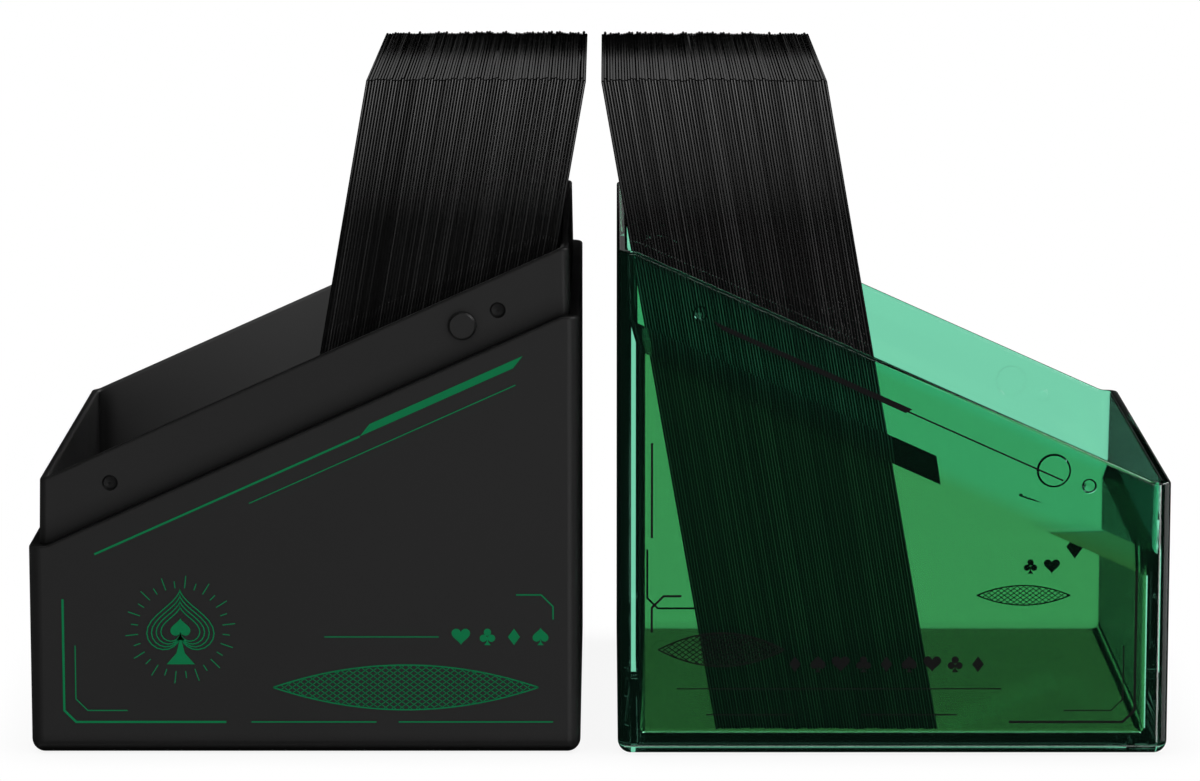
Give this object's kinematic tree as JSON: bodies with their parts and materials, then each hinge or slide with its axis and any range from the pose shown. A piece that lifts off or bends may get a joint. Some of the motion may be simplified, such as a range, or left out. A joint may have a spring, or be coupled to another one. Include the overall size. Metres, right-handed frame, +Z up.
{
  "type": "deck box",
  "caption": "Open two-part box for playing cards, split along a slant, with a collar on the dark base, a clear green cover beside it, and a deck of sleeved cards leaning in each part",
  "frame": {"origin": "middle of the row's footprint, on the surface that both halves stand on", "axes": "+X runs along the row from the base to the cover, +Y points away from the viewer to the back, +Z is up"},
  "size_m": [0.1544, 0.0784, 0.0917],
  "materials": {
    "black_plastic": "fine matt moulded black",
    "green_plastic": "polished see-through green",
    "card_sleeve": "dark glossy sleeve film round a card"
  },
  "bodies": {
    "base": {"base_shell": "black_plastic"},
    "base_deck": {"base_cards_1": "card_sleeve", "base_cards_2": "card_sleeve", "base_cards_3": "card_sleeve", "base_cards_4": "card_sleeve", "base_cards_5": "card_sleeve", "base_cards_6": "card_sleeve", "base_cards_7": "card_sleeve", "base_cards_8": "card_sleeve"},
    "base_end_card": {"base_end_card": "card_sleeve"},
    "cover": {"cover_shell": "green_plastic"},
    "cover_deck": {"cover_cards_1": "card_sleeve", "cover_cards_2": "card_sleeve", "cover_cards_3": "card_sleeve", "cover_cards_4": "card_sleeve", "cover_cards_5": "card_sleeve", "cover_cards_6": "card_sleeve", "cover_cards_7": "card_sleeve", "cover_cards_8": "card_sleeve"},
    "cover_end_card": {"cover_end_card": "card_sleeve"}
  },
  "joints": [
    {"name": "base_deck_lift", "type": "slide", "parent": "base", "child": "base_deck", "axis": [0, 0, 1], "range_m": [0, 0.1]},
    {"name": "base_end_card_lift", "type": "slide", "parent": "base_deck", "child": "base_end_card", "axis": [0, 0, 1], "range_m": [0, 0.1]},
    {"name": "cover_lift", "type": "slide", "parent": "base", "child": "cover", "axis": [0, 0, 1], "range_m": [0, 0.1]},
    {"name": "cover_deck_lift", "type": "slide", "parent": "cover", "child": "cover_deck", "axis": [0, 0, 1], "range_m": [0, 0.1]},
    {"name": "cover_end_card_lift", "type": "slide", "parent": "cover_deck", "child": "cover_end_card", "axis": [0, 0, 1], "range_m": [0, 0.1]}
  ]
}
